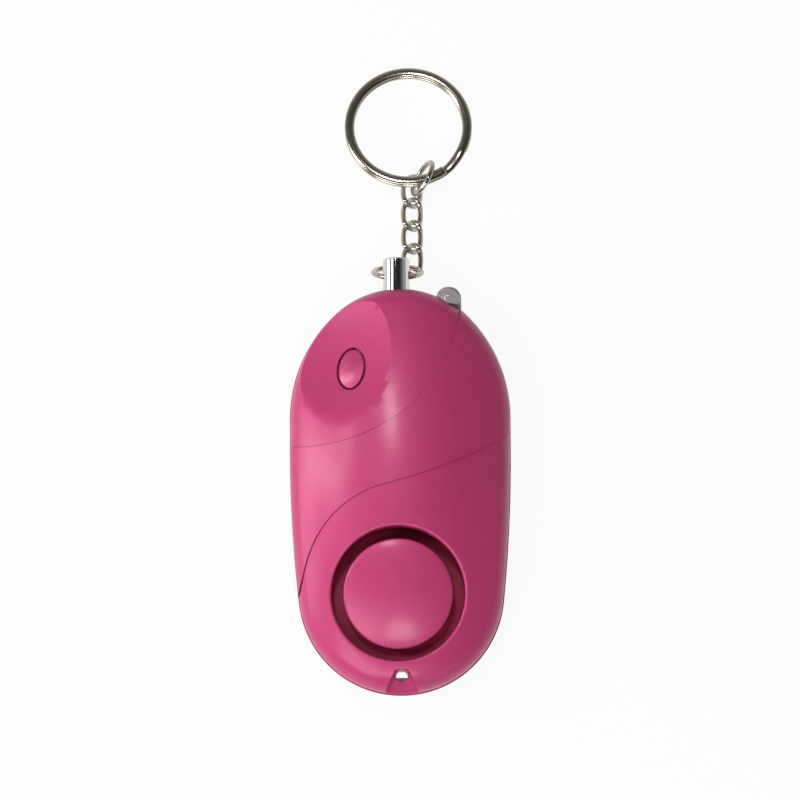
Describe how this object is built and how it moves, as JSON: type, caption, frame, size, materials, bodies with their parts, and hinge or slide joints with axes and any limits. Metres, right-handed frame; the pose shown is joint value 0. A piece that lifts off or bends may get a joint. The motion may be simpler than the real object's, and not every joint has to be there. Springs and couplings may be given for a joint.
{
  "type": "personal safety alarm",
  "caption": "Pebble-shaped pocket alarm with a pull pin on a chain and split ring, a torch button, a clear lamp and a round siren opening.",
  "frame": {"origin": "middle of the flat back, in the plane of the back face", "axes": "+Z out of the front, +Y along the body to the key ring, +X to the right as the front is seen"},
  "size_m": [0.0434, 0.1264, 0.02],
  "materials": {
    "case_pink": "metallic pink gloss paint over plastic",
    "button_pink": "metallic pink gloss",
    "screw_steel": "zinc plated",
    "siren_brass": "bright",
    "siren_ceramic": "silvered ceramic",
    "board_green": "satin solder mask",
    "switch_black": "satin",
    "ferrite_black": "matt",
    "copper": "enamelled copper wire",
    "capacitor_can": "sleeved can",
    "chip_black": "epoxy",
    "pin_chrome": "polished",
    "plug_black": "satin",
    "socket_black": "satin",
    "contact_brass": "bright spring leaf",
    "lamp_clear": "clear epoxy",
    "lead_steel": "tinned",
    "cell_steel": "bright can",
    "tray_black": "satin",
    "ring_nickel": "nickel plated steel wire",
    "key_ring_nickel": "nickel plated flat steel wire"
  },
  "bodies": {
    "case": {"front_shell": "case_pink", "rear_shell": "case_pink", "case_screws": "screw_steel", "piezo_plate": "siren_brass", "piezo_ceramic": "siren_ceramic", "circuit_board": "board_green", "torch_switch": "switch_black", "coil_core": "ferrite_black", "coil_winding": "copper", "capacitor": "capacitor_can", "sound_chip": "chip_black", "transistor": "chip_black", "pin_socket": "socket_black", "contact_left": "contact_brass", "contact_right": "contact_brass", "lamp_lens": "lamp_clear", "lamp_leads": "lead_steel", "button_cells": "cell_steel", "battery_tray": "tray_black", "positive_terminal": "contact_brass", "negative_terminal": "contact_brass", "battery_spring": "lead_steel"},
    "torch_button": {"torch_button": "button_pink", "switch_plunger": "switch_black"},
    "pull_pin": {"pin_barrel": "pin_chrome", "pin_plug": "plug_black"},
    "pin_ring": {"pin_ring": "ring_nickel"},
    "chain_link_1": {"chain_link_1": "ring_nickel"},
    "chain_link_2": {"chain_link_2": "ring_nickel"},
    "chain_link_3": {"chain_link_3": "ring_nickel"},
    "chain_link_4": {"chain_link_4": "ring_nickel"},
    "top_ring": {"top_ring": "ring_nickel"},
    "key_ring": {"key_ring": "key_ring_nickel"}
  },
  "joints": [
    {"name": "torch_press", "type": "slide", "parent": "case", "child": "torch_button", "axis": [0, 0, -1], "range_m": [0, 0.0005], "stiffness_N_per_m": 600, "springref_m": -0.0005},
    {"name": "pin_pull", "type": "slide", "parent": "case", "child": "pull_pin", "axis": [0, 1, 0], "range_m": [0, 0.0205]},
    {"name": "pin_ring_swing", "type": "hinge", "parent": "pull_pin", "child": "pin_ring", "pos_m": [-0.00057, 0.0424, 0.0095], "axis": [1, 0, 0], "range_deg": [-18, 60]},
    {"name": "link_1_swing", "type": "hinge", "parent": "pin_ring", "child": "chain_link_1", "pos_m": [0.00262, 0.04535, 0.00221], "axis": [-0.788, 0.2306, -0.5708], "range_deg": [-15, 20]},
    {"name": "link_2_swing", "type": "hinge", "parent": "chain_link_1", "child": "chain_link_2", "pos_m": [0.00262, 0.05, 0.00221], "axis": [0.7071, 0, 0.7071], "range_deg": [-12, 12]},
    {"name": "link_3_swing", "type": "hinge", "parent": "chain_link_2", "child": "chain_link_3", "pos_m": [0.00262, 0.05465, 0.00221], "axis": [0.7071, 0, 0.7071], "range_deg": [-12, 12]},
    {"name": "link_4_swing", "type": "hinge", "parent": "chain_link_3", "child": "chain_link_4", "pos_m": [0.00262, 0.0593, 0.00221], "axis": [0.7071, 0, 0.7071], "range_deg": [-12, 12]},
    {"name": "top_ring_swing", "type": "hinge", "parent": "chain_link_4", "child": "top_ring", "pos_m": [0.00262, 0.06395, 0.00221], "axis": [0.7071, 0, 0.7071], "range_deg": [-12, 4]},
    {"name": "key_ring_swing", "type": "hinge", "parent": "top_ring", "child": "key_ring", "pos_m": [0.0058, 0.06631, 0.00312], "axis": [0.4728, 0.2195, 0.8534], "range_deg": [-6, 5]}
  ]
}
